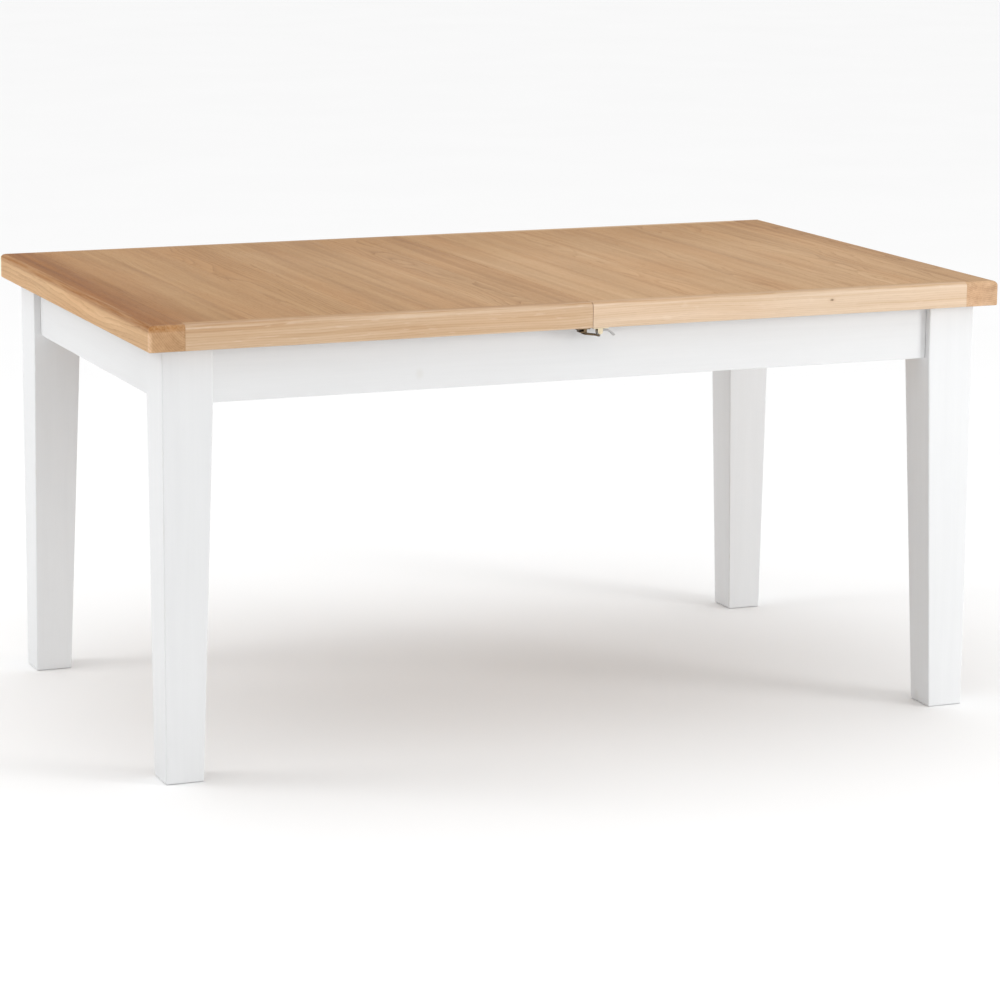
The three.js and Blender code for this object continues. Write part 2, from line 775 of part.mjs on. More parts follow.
for (const [edge, sideY] of Object.entries(EDGES)) {
  const [left, right] = [new THREE.Group(), new THREE.Group()];
  for (const half of [left, right]) half.position.set(0, sideY * CATCH_Y, EDGE_BOTTOM);
  const lever = new THREE.Group();
  lever.position.set(LEVER_PIVOT.x, 0, LEVER_PIVOT.z);
  const loop = mesh(`catch_loop_${edge}`, catchLoop(), brass);
  loop.position.set(LOOP_PIN.x, 0, LOOP_PIN.z);
  loop.rotation.y = LOOP_RISE;
  lever.add(mesh(`catch_lever_${edge}`, catchLever(), steel), loop);
  left.add(mesh(`catch_keeper_${edge}`, catchKeeper(), brass));
  right.add(mesh(`catch_base_${edge}`, catchBase(), brass), lever);
  halves.left.add(left);
  halves.right.add(right);
}

export default table;
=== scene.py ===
"""The looks of an extending dining table with a painted frame and an oak top.

Everything is in metres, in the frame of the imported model: +X along the table, +Y to the back, +Z up.
"""

import math
import random

import bmesh
import bpy
from mathutils import Matrix, Vector


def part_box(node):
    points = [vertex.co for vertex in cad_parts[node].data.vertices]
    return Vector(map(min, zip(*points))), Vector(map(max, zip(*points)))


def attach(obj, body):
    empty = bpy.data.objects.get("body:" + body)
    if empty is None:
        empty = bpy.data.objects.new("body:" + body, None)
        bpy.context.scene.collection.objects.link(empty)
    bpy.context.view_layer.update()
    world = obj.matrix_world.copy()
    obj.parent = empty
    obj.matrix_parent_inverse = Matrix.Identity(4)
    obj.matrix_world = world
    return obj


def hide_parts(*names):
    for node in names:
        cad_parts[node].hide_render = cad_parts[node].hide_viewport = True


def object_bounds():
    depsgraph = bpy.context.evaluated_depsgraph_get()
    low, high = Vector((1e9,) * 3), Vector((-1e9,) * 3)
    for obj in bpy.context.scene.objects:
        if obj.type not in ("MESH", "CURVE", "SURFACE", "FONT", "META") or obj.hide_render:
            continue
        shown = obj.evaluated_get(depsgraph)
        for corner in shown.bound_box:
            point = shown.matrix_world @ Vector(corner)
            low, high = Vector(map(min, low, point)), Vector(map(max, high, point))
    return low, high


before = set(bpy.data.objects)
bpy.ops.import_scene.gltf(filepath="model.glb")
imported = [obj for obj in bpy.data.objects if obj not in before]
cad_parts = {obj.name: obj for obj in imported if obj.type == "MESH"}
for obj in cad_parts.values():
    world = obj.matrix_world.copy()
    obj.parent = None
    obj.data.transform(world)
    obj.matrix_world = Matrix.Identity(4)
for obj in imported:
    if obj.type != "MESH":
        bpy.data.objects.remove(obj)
cad_low, cad_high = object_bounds()

MM = 0.001
SIDES = {"left": -1, "right": 1}
EDGES = {"front": -1, "back": 1}

# Camera and light
CAMERA_PLACE = (-2.414, -5.906, 1.653)
CAMERA_AZIMUTH = -21.63
CAMERA_TILT = 10.76
CAMERA_ROLL = 0.26
CAMERA_LENS = 127.3
CAMERA_SHIFT = (0.050, -0.050)
SKY_OVERHEAD = 1.52
SKY_HORIZON = 0.08
SKY_RIM = 0.85
SKY_RIM_FADE = (0.06, 0.13)
SOFTBOXES = (
    # name, place, size, power
    ("key", (4.2, -3.9, 1.5), 1.9, 106),
    ("fill", (-3.8, 0.9, 2.2), 1.8, 33),
)
LIGHT_AIM = Vector((0.0, 0.0, 0.55))
FLOOR_REACH = 40.0

# Rounds and joints of the woodwork
CORNER_ROUND = 3 * MM
EDGE_ROUND = 8 * MM
LOWER_ARRIS = 1.8 * MM
SEAM_ARRIS = 0.9 * MM
JOINT_ARRIS = 0.3 * MM
LEG_ARRIS = 2.5 * MM
LEG_FOOT = 67 * MM
LEG_CHAMFER = 16 * MM
APRON_ARRIS = 1.5 * MM
PLANK_WIDTHS = (75 * MM, 135 * MM)
HOLE_CLEARANCE = 0.3 * MM
PAST_FACE = 10 * MM
BOLT_RADIUS = 4 * MM
BOLT_HOLE_DEPTH = 90 * MM
GLIDE_THICKNESS = 3 * MM
NAIL_RADIUS = 2 * MM
RUNNER_THICKNESS = 22 * MM
PIVOT_PLATE = 3 * MM
CATCH_PLATE = 2 * MM

# How much paler than plain oak each part of the top is
END_BOARD_TONE = {"left": -0.02, "right": -0.05}
# The right lippings paler than the left is painted light, as the key falls from the right.
LIPPING_TONE = {"left": -0.12, "right": 0.17}
PANEL_TONE = {"left": 0.05, "right": 0.11}
PLANK_TONE_SPREAD = 0.03
SEAM_PLANK_DARKER = 0.07
OTHER_TONE_SPREAD = 0.07

# Where a board may lie in its log: along it, aside from and below the pith, and turned, in radians
LOG_ALONG = 3.0
LOG_ASIDE = 45 * MM
LOG_BELOW = (50 * MM, 140 * MM)
LOG_TURN = 0.9

random.seed(41)


# ---------------------------------------------------------------- shader trees


class Tree:
    """A short way to write the nodes of a material or of the world."""

    def __init__(self, owner, shader="Principled BSDF"):
        owner.use_nodes = True
        self.owner = owner
        self.nodes = owner.node_tree.nodes
        self.links = owner.node_tree.links
        self.shader = self.nodes[shader]

    def node(self, kind, inputs=(), **settings):
        made = self.nodes.new(kind)
        for name, value in settings.items():
            setattr(made, name, value)
        for socket, value in dict(inputs).items():
            self.put(made.inputs[socket], value)
        return made

    def put(self, socket, value):
        if isinstance(value, bpy.types.NodeSocket):
            self.links.new(value, socket)
        else:
            socket.default_value = value

    def math(self, operation, *values, clamp=False):
        made = self.node("ShaderNodeMath", operation=operation, use_clamp=clamp)
        for socket, value in zip(made.inputs, values):
            self.put(socket, value)
        return made.outputs[0]

    def scale(self, vector, by):
        made = self.node("ShaderNodeVectorMath", operation="MULTIPLY")
        self.put(made.inputs[0], vector)
        self.put(made.inputs[1], by)
        return made.outputs[0]

    def shift(self, vector, by):
        made = self.node("ShaderNodeVectorMath", operation="ADD")
        self.put(made.inputs[0], vector)
        self.put(made.inputs[1], by)
        return made.outputs[0]

    def noise(self, vector, scale, detail=2.0, roughness=0.5, distortion=0.0):
        inputs = {
            "Vector": vector,
            "Scale": scale,
            "Detail": detail,
            "Roughness": roughness,
            "Distortion": distortion,
        }
        return self.node("ShaderNodeTexNoise", inputs).outputs["Fac"]

    def window(self, value, low, high, to_low=0.0, to_high=1.0):
        inputs = {
            "Value": value,
            "From Min": low,
            "From Max": high,
            "To Min": to_low,
            "To Max": to_high,
        }
        return self.node("ShaderNodeMapRange", inputs).outputs["Result"]

    def ramp(self, value, stops):
        made = self.node("ShaderNodeValToRGB", {"Fac": value})
        elements = made.color_ramp.elements
        while len(elements) < len(stops):
            elements.new(1.0)
        for element, (place, colour) in zip(elements, stops):
            element.position = place
            element.color = (*colour, 1.0)
        return made.outputs["Color"]

    def axes(self, vector):
        return self.node("ShaderNodeSeparateXYZ", {"Vector": vector}).outputs

    def vector(self, **axes):
        return self.node("ShaderNodeCombineXYZ", axes).outputs[0]

    def mix(self, factor, a, b, blend="MIX"):
        made = self.node("ShaderNodeMix", data_type="RGBA", blend_type=blend)
        self.put(made.inputs["Factor"], factor)
        for socket, value in ((made.inputs[6], a), (made.inputs[7], b)):
            self.put(socket, (*value, 1.0) if isinstance(value, tuple) else value)
        return made.outputs[2]

    def tint(self, factor, colour, tint):
        return self.mix(factor, colour, self.mix(1.0, colour, tint, "MULTIPLY"))

    def attribute(self, name, output="Fac"):
        return self.node("ShaderNodeAttribute", attribute_name=name).outputs[output]

    def coordinate(self, kind):
        return self.node("ShaderNodeTexCoord").outputs[kind]

    def place(self):
        return self.coordinate("Object")

    def bump(self, height, strength, distance):
        inputs = {"Height": height, "Strength": strength, "Distance": distance}
        self.put(self.shader.inputs["Normal"], self.node("ShaderNodeBump", inputs).outputs[0])

    def set(self, **values):
        for name, value in values.items():
            self.put(self.shader.inputs[name.replace("_", " ")], value)
        return self.owner


def material_tree(name):
    return Tree(bpy.data.materials.new(name))


def grain_vector(tree, axis):
    """Object coordinates with the grain turned to X."""
    if axis == "attribute":
        return tree.attribute("wood", "Vector")
    at = tree.axes(tree.place())
    order = {"x": "XYZ", "y": "YXZ", "z": "ZXY"}[axis]
    return tree.vector(**{target: at[source] for target, source in zip("XYZ", order)})


def knot_mask(tree, knots, fade=1.0):
    """1 inside the knots, falling to 0 round them; a knot is (place, stretch, radius)."""
    total = 0.0
    for place, stretch, radius in knots:
        away = tree.shift(tree.place(), tuple(-v for v in place))
        away = tree.scale(away, stretch)
        length = tree.node("ShaderNodeVectorMath", {0: away}, operation="LENGTH").outputs["Value"]
        rough = tree.noise(tree.place(), 420.0, 2.0, 0.6)
        length = tree.math("MULTIPLY_ADD", tree.math("SUBTRACT", rough, 0.5), radius * 0.9, length)
        spot = tree.window(length, radius * 0.55, radius * (1.0 + fade), 1.0, 0.0)
        total = tree.math("ADD", total, spot, clamp=True)
    return total


def lipping_top(tree, colour, _own):
    """The top face of a lipping, as dark as the planks beside it: the tint takes the painted light of
    the paler lipping palette off the top face, so it stays only on the edge faces.
    """
    height = tree.axes(tree.place())["Z"]
    shallow, deep = LIPPING_TOP_FADE
    upper = tree.window(height, cad_high.z - deep, cad_high.z - shallow)
    return tree.tint(upper, colour, LIPPING_TOP_TINT)


def raw_underside(tree, colour, _own):
    """The undersides have no lacquer, so they are duller and greyer."""
    facing = tree.axes(tree.coordinate("Normal"))["Z"]
    under = tree.window(facing, *DOWNWARD, 1.0, 0.0)
    return tree.tint(under, colour, RAW_TINT)


def oak_ends(tree, colour, own):
    """Painted light and shade on the oak: the front and back faces of the end boards and the left end
    face painted paler as lit faces, painted shade to the left and back that leaves a paler painted
    sheen at the front and right, and painted shade on the left end's top face; the undersides greyer.
    """
    colour = raw_underside(tree, colour, own)
    at = tree.axes(tree.place())

    # Painted light: the front and back faces of the end boards paler, as lit faces.
    shallow, deep = END_FACE_LIGHT_FADE
    out = tree.window(tree.math("ABSOLUTE", at["Y"]), cad_high.y - deep, cad_high.y - shallow)
    colour = tree.tint(out, colour, END_FACE_LIGHT_TINT)

    # Painted light: the left end face paler below its rounded top edge, as lit from the left.
    shallow, deep = LEFT_FACE_LIGHT_FADE
    face = tree.window(at["X"], cad_low.x + shallow, cad_low.x + deep, 1.0, 0.0)
    shallow, deep = LEFT_FACE_LIGHT_TOP_FADE
    below = tree.window(at["Z"], cad_high.z - deep, cad_high.z - shallow, 1.0, 0.0)
    colour = tree.tint(tree.math("MULTIPLY", face, below), colour, LEFT_FACE_LIGHT_TINT)

    # Painted shade to the left and back, leaving a paler painted sheen at the front and right.
    left = tree.window(at["X"], *SHEEN_SHADE_LEFT_FADE, 1.0, 0.0)
    back = tree.window(at["Y"], *SHEEN_SHADE_BACK_FADE)
    colour = tree.tint(tree.math("MAXIMUM", left, back), colour, SHEEN_SHADE_TINT)

    # Painted shade: the top face darker at the left end, in a wavering band.
    drift = tree.noise(tree.scale(own, (2.0, 16.0, 16.0)), 1.0, 3.0, 0.6)
    inward = tree.math("SUBTRACT", at["X"], cad_low.x)
    inward = tree.math("MULTIPLY_ADD", drift, LEFT_END_SHADE_DRIFT, inward)
    left_shade = tree.window(inward, *LEFT_END_SHADE_FADE, 1.0, 0.0)
    shallow, deep = LEFT_END_SHADE_DEPTH_FADE
    above = tree.window(at["Z"], cad_high.z - deep, cad_high.z - shallow)
    return tree.tint(tree.math("MULTIPLY", left_shade, above), colour, LEFT_END_SHADE_TINT)


def wood(name, palette, contrast, axis="attribute", ring=3.4 * MM, rough=0.5, knots=(), extra=None):
    """Solid wood: growth rings about a pith, pores drawn out along the grain, slow colour drift."""
    deep, dark, light, pale = palette
    tree = material_tree(name)
    grain = grain_vector(tree, axis)
    boards = axis == "attribute"
    seed = tree.attribute("board") if boards else 0.0
    own = tree.shift(grain, tree.vector(X=tree.math("MULTIPLY", seed, 37.0)))

    wander = tree.noise(tree.scale(own, (1.5, 6.0, 6.0)), 1.0, 3.0, 0.55)
    ripple = tree.noise(tree.scale(own, (9.0, 60.0, 60.0)), 1.0, 2.0, 0.5)
    at = tree.axes(grain)
    square = tree.math("MULTIPLY", at["Y"], at["Y"])
    across = tree.math("SQRT", tree.math("MULTIPLY_ADD", at["Z"], at["Z"], square))
    radius = tree.math("MULTIPLY_ADD", wander, 0.040, across)
    radius = tree.math("MULTIPLY_ADD", ripple, 0.0018, radius)
    year = tree.math("FRACT", tree.math("DIVIDE", radius, ring))
    early = tree.window(year, 0.0, 0.42, 1.0, 0.0)
    late = tree.window(year, 0.55, 1.0, 0.0, 1.0)
    decade = tree.noise(tree.vector(X=radius), 75.0, 2.0, 0.6)

    streak = tree.window(tree.noise(tree.scale(own, (1.0, 24.0, 24.0)), 1.0, 3.0, 0.6), 0.3, 0.7)
    cord = tree.window(tree.noise(tree.scale(own, (2.4, 85.0, 85.0)), 1.0, 3.0, 0.6), 0.3, 0.7)
    silk = tree.noise(tree.scale(own, (7.0, 260.0, 260.0)), 1.0, 3.0, 0.6)
    pores = tree.noise(tree.scale(own, (60.0, 1300.0, 1300.0)), 1.0, 1.0, 0.5)
    pore = tree.window(pores, 0.54, 0.66)
    pore = tree.math("MULTIPLY", pore, tree.math("MULTIPLY_ADD", early, 0.8, 0.2), clamp=True)
    fleck = tree.window(tree.noise(tree.scale(own, (34.0, 420.0, 60.0)), 1.0, 1.0, 0.5), 0.64, 0.74)

    tone = tree.math("MULTIPLY_ADD", streak, 0.26, 0.10)
    tone = tree.math("MULTIPLY_ADD", cord, 0.20, tone)
    tone = tree.math("MULTIPLY_ADD", silk, 0.22, tone)
    tone = tree.math("MULTIPLY_ADD", tree.window(decade, 0.35, 0.65), 0.14, tone)
    tone = tree.math("MULTIPLY_ADD", early, -0.26 * contrast, tone)
    tone = tree.math("MULTIPLY_ADD", late, 0.10 * contrast, tone)
    tone = tree.math("ADD", tone, tree.attribute("tone") if boards else 0.0)
    colour = tree.ramp(tone, [(0.0, deep), (0.30, dark), (0.62, light), (1.0, pale)])
    blush = tree.window(tree.noise(tree.scale(own, (2.0, 11.0, 11.0)), 1.0, 2.0, 0.5), 0.42, 0.66)
    colour = tree.tint(tree.math("MULTIPLY", blush, 0.7), colour, ROSY_TINT)
    colour = tree.mix(tree.math("MULTIPLY", pore, 0.55 * contrast), colour, deep)
    colour = tree.mix(tree.math("MULTIPLY", fleck, 0.25), colour, pale)
    if extra:
        colour = extra(tree, colour, own)
    if knots:
        halo = knot_mask(tree, knots, 2.2)
        colour = tree.mix(tree.math("MULTIPLY", halo, 0.4), colour, dark)
        core = tree.math("MULTIPLY", knot_mask(tree, knots, 0.25), 0.8)
        colour = tree.mix(core, colour, tuple(c * 0.5 for c in deep))
    worn = tree.math("MULTIPLY", tree.attribute("edge"), tree.window(silk, 0.35, 0.7))
    colour = tree.mix(tree.math("MULTIPLY", worn, 0.4), colour, pale)

    dull = tree.noise(tree.scale(own, (3.0, 5.0, 5.0)), 1.0, 3.0, 0.6)
    shade = tree.math("MULTIPLY_ADD", dull, 0.16, rough - 0.08)
    shade = tree.math("MULTIPLY_ADD", pore, 0.2, shade)
    height = tree.math("MULTIPLY_ADD", pore, -1.0, tree.math("MULTIPLY", silk, 0.35))
    height = tree.math("MULTIPLY_ADD", early, -0.2, height)
    tree.bump(height, 0.4, 0.4 * MM)
    return tree.set(Base_Color=colour, Roughness=shade, Specular_IOR_Level=0.22)


def painted(name, knots):
    """Satin white paint on wood: brush lines, a hint of the grain and knots below, rubbed edges."""
    tree = material_tree(name)
    grain = tree.attribute("wood", "Vector")
    brush = tree.noise(tree.scale(grain, (9.0, 620.0, 620.0)), 1.0, 3.0, 0.6)
    below = tree.noise(tree.scale(grain, (2.5, 60.0, 60.0)), 1.0, 4.0, 0.62, 0.4)
    cloud = tree.noise(tree.scale(grain, (3.0, 6.0, 6.0)), 1.0, 3.0, 0.55)
    tone = tree.math("MULTIPLY_ADD", below, 0.45, tree.math("MULTIPLY", cloud, 0.35))
    tone = tree.math("MULTIPLY_ADD", brush, 0.2, tone)
    colour = tree.ramp(tone, [(0.3, PAINT_DULL), (0.7, PAINT_BRIGHT)])
    halo = tree.math("MULTIPLY", knot_mask(tree, knots, 0.8), 0.55)
    colour = tree.mix(halo, colour, PAINT_OVER_KNOT)
    rubbed = tree.noise(tree.scale(grain, (26.0, 90.0, 90.0)), 1.0, 3.0, 0.65)
    rub = tree.math("MULTIPLY", tree.attribute("edge"), tree.window(rubbed, 0.54, 0.72))
    colour = tree.mix(tree.math("MULTIPLY", rub, 0.35), colour, PAINT_RUBBED)
    rough = tree.math("MULTIPLY_ADD", cloud, 0.14, 0.38)
    rough = tree.math("MULTIPLY_ADD", brush, 0.10, rough)
    height = tree.math("MULTIPLY_ADD", below, 0.8, tree.math("MULTIPLY", brush, 0.6))
    tree.bump(height, 0.25, 0.5 * MM)
    return tree.set(Base_Color=colour, Roughness=rough, Specular_IOR_Level=0.3)


def metal(name, bright, dark, rough, lines, axis=(1.0, 1.0, 1.0), stain=0.5):
    """Metal with drawn or brushed lines, slow tarnish and small dull spots."""
    tree = material_tree(name)
    place = tree.place()
    drawn = tree.noise(tree.scale(place, tuple(lines * a for a in axis)), 1.0, 2.0, 0.6)
    tarnish = tree.noise(place, 46.0, 5.0, 0.6)
    spots = tree.window(tree.noise(place, 620.0, 2.0, 0.5), 0.62, 0.72)
    aged = tree.math("MULTIPLY", tree.window(tarnish, 0.42, 0.72), stain)
    aged = tree.math("MULTIPLY_ADD", spots, 0.25 * stain, aged, clamp=True)
    colour = tree.mix(aged, bright, dark)
    shade = tree.math("MULTIPLY_ADD", drawn, 0.16, rough - 0.08)
    shade = tree.math("MULTIPLY_ADD", aged, 0.22, shade)
    tree.bump(tree.math("MULTIPLY_ADD", aged, 0.4, drawn), 0.12, 0.2 * MM)
    return tree.set(Base_Color=colour, Roughness=shade, Metallic=1.0)


def moulded(name, colour, worn):
    """Moulded nylon with a fine grain and scuffs."""
    tree = material_tree(name)
    place = tree.place()
    stipple = tree.noise(place, 2600.0, 2.0, 0.6)
    cloud = tree.noise(place, 90.0, 3.0, 0.6)
    scuff = tree.window(tree.noise(tree.scale(place, (300.0, 900.0, 60.0)), 1.0, 2.0, 0.6), 0.52, 0.74)
    mixed = tree.mix(tree.math("MULTIPLY", scuff, 0.5), colour, worn)
    mixed = tree.mix(tree.math("MULTIPLY", cloud, 0.3), mixed, worn)
    tree.bump(stipple, 0.25, 0.2 * MM)
    return tree.set(Base_Color=mixed, Roughness=tree.math("MULTIPLY_ADD", scuff, 0.2, 0.5))


# Linear colours from the darkest pores to the palest wood
OAK_TOP = ((0.230, 0.115, 0.047), (0.385, 0.218, 0.099), (0.512, 0.311, 0.156), (0.620, 0.408, 0.226))
# The lipping palette is a paler copy of the oak: painted light on the lippings' edge faces, taken off
# their top faces by lipping_top.
OAK_RIM_LIT = ((0.330, 0.200, 0.110), (0.520, 0.340, 0.197), (0.655, 0.490, 0.340), (0.785, 0.635, 0.500))
PLAIN = ((0.36, 0.21, 0.10), (0.55, 0.36, 0.20), (0.66, 0.47, 0.29), (0.74, 0.56, 0.37))

# Tints, and where they fade in or out: distances from the faces of the top, or places in the frame
ROSY_TINT = (1.0, 0.93, 0.86)
# Painted light on the front and back faces of the end boards
END_FACE_LIGHT_TINT = (1.26, 1.37, 1.70)
END_FACE_LIGHT_FADE = (2 * MM, 9 * MM)
# Painted light on the left end face
LEFT_FACE_LIGHT_TINT = (1.41, 1.55, 1.80)
LEFT_FACE_LIGHT_FADE = (1 * MM, 7 * MM)
LEFT_FACE_LIGHT_TOP_FADE = (7 * MM, 14 * MM)
# Painted shade on the top face at the left end
LEFT_END_SHADE_TINT = (0.75, 0.54, 0.27)
LEFT_END_SHADE_FADE = (0.07, 0.17)
LEFT_END_SHADE_DEPTH_FADE = (6 * MM, 12 * MM)
LEFT_END_SHADE_DRIFT = 0.09
# Painted shade to the left and back of the oak top, leaving a paler painted sheen at the front and
# right
SHEEN_SHADE_TINT = (0.85, 0.79, 0.68)
SHEEN_SHADE_LEFT_FADE = (-0.45, -0.15)
SHEEN_SHADE_BACK_FADE = (0.05, 0.38)
# Takes the painted light of the paler lipping palette off the lippings' top faces
LIPPING_TOP_TINT = (0.77, 0.66, 0.52)
LIPPING_TOP_FADE = (1.5 * MM, 5 * MM)
RAW_TINT = (0.74, 0.80, 0.92)
DOWNWARD = (-0.9, -0.5)

PAINT_DULL = (0.737, 0.744, 0.750)
PAINT_BRIGHT = (0.784, 0.791, 0.797)
PAINT_OVER_KNOT = (0.70, 0.695, 0.675)
PAINT_RUBBED = (0.70, 0.68, 0.64)

# Knots: place, stretch, radius. One in the right front lipping, one in the front apron and one at the
# foot of the right front leg
LIPPING_KNOT = ((0.455, -0.475, 0.762), (0.6, 1.0, 1.0), 2 * MM)
PAINT_KNOTS = (
    ((-0.299, -0.432, 0.668), (1.0, 0.3, 0.75), 5 * MM),
    ((0.676, -0.400, 0.014), (0.3, 1.0, 0.8), 6 * MM),
)

OAK = wood("oak_panel", OAK_TOP, 0.62, extra=oak_ends)
# The lippings' material, painted paler for the light on their edge faces
OAK_EDGE = wood("oak_edge", OAK_RIM_LIT, 0.42, knots=[LIPPING_KNOT], extra=lipping_top)
OAK_LEAF = wood("oak_leaf", OAK_TOP, 0.7, axis="y", extra=raw_underside)
BEECH_X = wood("beech_lengthwise", PLAIN, 0.6, axis="x", ring=2.2 * MM, rough=0.62)
BEECH_Y = wood("beech_crosswise", PLAIN, 0.6, axis="y", ring=2.2 * MM, rough=0.62)
PAINT = painted("white_paint", PAINT_KNOTS)
ZINC = metal("zinc_steel", (0.58, 0.59, 0.60), (0.38, 0.38, 0.37), 0.36, 60.0, (1.0, 30.0, 30.0))
STEEL = metal("bright_steel", (0.42, 0.41, 0.40), (0.24, 0.23, 0.22), 0.30, 900.0)
BRASS = metal("satin_brass", (0.72, 0.55, 0.27), (0.40, 0.27, 0.11), 0.30, 900.0)
PALE_BRASS = metal("pale_brass", (0.76, 0.66, 0.48), (0.46, 0.37, 0.24), 0.30, 900.0)
# Painted shade: nearly black brass for the keeper and the loop, as brass in the shadow under the edge
SHADED_BRASS = metal("brass_painted_shade", (0.17, 0.12, 0.070), (0.07, 0.048, 0.028), 0.40, 900.0, stain=0.8)
NYLON = moulded("black_nylon", (0.030, 0.030, 0.031), (0.11, 0.11, 0.11))


# ---------------------------------------------------------------- mesh building


def box_mesh(low, high):
    bm = bmesh.new()
    low, high = Vector(low), Vector(high)
    middle, size = (low + high) / 2, high - low
    turn = Matrix.Translation(middle) @ Matrix.Diagonal((*size, 1.0))
    bmesh.ops.create_cube(bm, size=1.0, matrix=turn)
    return bm


def prism(near, far):
    """A solid between two outlines with the same number of points."""
    bm = bmesh.new()
    near, far = ([bm.verts.new(point) for point in outline] for outline in (near, far))
    bm.faces.new(near)
    bm.faces.new(far[::-1])
    for i in range(len(near)):
        bm.faces.new((near[i - 1], far[i - 1], far[i], near[i]))
    bmesh.ops.recalc_face_normals(bm, faces=bm.faces[:])
    return bm


def bridge(bm, before, after):
    """Faces between two closed rings of vertices."""
    for i in range(len(before)):
        bm.faces.new((before[i - 1], before[i], after[i], after[i - 1]))


def round_edges(bm, edges, radius, segments, mark=True):
    """Rounds these edges, and marks the new faces as worn edge."""
    worn = bm.faces.layers.float.get("edge") or bm.faces.layers.float.new("edge")
    made = bmesh.ops.bevel(
        bm,
        geom=list(edges),
        offset=radius,
        offset_type="OFFSET",
        segments=segments,
        profile=0.5,
        affect="EDGES",
        clamp_overlap=True,
    )
    if mark:
        for face in made["faces"]:
            face[worn] = 1.0
    return bm


def sharp_edges(bm, degrees=20.0):
    return [
        edge
        for edge in bm.edges
        if len(edge.link_faces) == 2 and edge.calc_face_angle(0.0) > math.radians(degrees)
    ]


def keep_side(bm, point, normal, arris, segments=2):
    """Cuts the solid with a plane, keeps what the normal points away from, and eases the new edges."""
    geometry = bm.verts[:] + bm.edges[:] + bm.faces[:]
    cut = bmesh.ops.bisect_plane(bm, geom=geometry, plane_co=point, plane_no=normal, clear_outer=True)
    rim = [e for e in cut["geom_cut"] if isinstance(e, bmesh.types.BMEdge)]
    cap = bmesh.ops.holes_fill(bm, edges=rim, sides=0)["faces"]
    bmesh.ops.recalc_face_normals(bm, faces=bm.faces[:])
    edges = dict.fromkeys(edge for face in cap for edge in face.edges)
    return round_edges(bm, edges, arris, segments, mark=False)


def islands(mesh):
    """Groups of vertex numbers that hang together."""
    parent = list(range(len(mesh.vertices)))

    def root(i):
        while parent[i] != i:
            parent[i] = parent[parent[i]]
            i = parent[i]
        return i

    for edge in mesh.edges:
        a, b = (root(i) for i in edge.vertices)
        parent[a] = b
    groups = {}
    for i in range(len(parent)):
        groups.setdefault(root(i), []).append(i)
    return [groups[key] for key in sorted(groups)]


def lay_grain(mesh, axis, tones):
    """Gives every board of a mesh its place in its own log, a seed and a tone."""
    order = {"x": (0, 1, 2), "y": (1, 0, 2), "z": (2, 0, 1)}[axis]
    kinds = {"wood": "FLOAT_VECTOR", "board": "FLOAT", "tone": "FLOAT"}
    for name, kind in kinds.items():
        mesh.attributes.new(name, kind, "POINT")
    wood_at, board, tone = (mesh.attributes[name] for name in kinds)
    for number, group in enumerate(islands(mesh)):
        places = [mesh.vertices[i].co for i in group]
        middle = sum(places, Vector()) / len(places)
        along = random.uniform(-LOG_ALONG, LOG_ALONG)
        aside = random.uniform(-LOG_ASIDE, LOG_ASIDE)
        below = random.uniform(*LOG_BELOW)
        turn = random.uniform(-LOG_TURN, LOG_TURN)
        seed = random.random()
        spread = OTHER_TONE_SPREAD
        shade = tones[number] if tones else random.uniform(-spread, spread)
        for i in group:
            p = mesh.vertices[i].co
            off = p - middle
            v, w = Matrix.Rotation(turn, 2) @ Vector((off[order[1]], off[order[2]]))
            wood_at.data[i].vector = (p[order[0]] + along, v + aside, w - below)
            board.data[i].value = seed
            tone.data[i].value = shade
    return mesh


def linked(name, data):
    """A new object with this data, put into the scene."""
    made = bpy.data.objects.new(name, data)
    bpy.context.scene.collection.objects.link(made)
    return made


def piece(name, bm, material, body, node=None, grain=None, tones=None):
    """A finished piece from its bmesh: smooth shaded, with even normals on its flat faces."""
    mesh = bpy.data.meshes.new(name)
    bmesh.ops.recalc_face_normals(bm, faces=bm.faces[:])
    bm.to_mesh(mesh)
    bm.free()
    if grain:
        lay_grain(mesh, grain, tones)
    mesh.materials.append(material)
    mesh.shade_smooth()
    made = linked(name, mesh)
    even = made.modifiers.new("even_normals", "WEIGHTED_NORMAL")
    even.mode = "FACE_AREA"
    even.weight = 100
    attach(made, body)
    if node:
        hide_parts(node)


HOLE_SIDES = 32


def drill(start, end, radius):
    """A round bar from start to end that takes out a hole."""
    tool = bmesh.new()
    start, end = Vector(start), Vector(end)
    turn = (end - start).to_track_quat("Z", "Y").to_matrix().to_4x4()
    bmesh.ops.create_cone(
        tool,
        cap_ends=True,
        segments=HOLE_SIDES,
        radius1=radius,
        radius2=radius,
        depth=(end - start).length,
        matrix=Matrix.Translation((start + end) / 2) @ turn,
    )
    return tool


def as_object(name, bm):
    mesh = bpy.data.meshes.new(name)
    bm.to_mesh(mesh)
    bm.free()
    return linked(name, mesh)


def carved(bm, tools):
    """The solid with each tool's shape taken out of it."""
    target = as_object("carved", bm)
    cutters = [as_object("cutter", tool) for tool in tools]
    for cutter in cutters:
        taken = target.modifiers.new("taken", "BOOLEAN")
        taken.operation = "DIFFERENCE"
        taken.solver = "EXACT"
        taken.object = cutter
    bpy.context.view_layer.update()
    done = target.evaluated_get(bpy.context.evaluated_depsgraph_get())
    result = bmesh.new()
    result.from_mesh(done.to_mesh())
    done.to_mesh_clear()
    if not result.verts:
        raise ValueError("the cut left nothing")
    for used in (target, *cutters):
        mesh = used.data
        bpy.data.objects.remove(used)
        bpy.data.meshes.remove(mesh)
    return result


def join_into(bm, other):
    """Adds the other bmesh's faces to bm, and frees it."""
    mesh = bpy.data.meshes.new("joined")
    other.to_mesh(mesh)
    other.free()
    bm.from_mesh(mesh)
    bpy.data.meshes.remove(mesh)


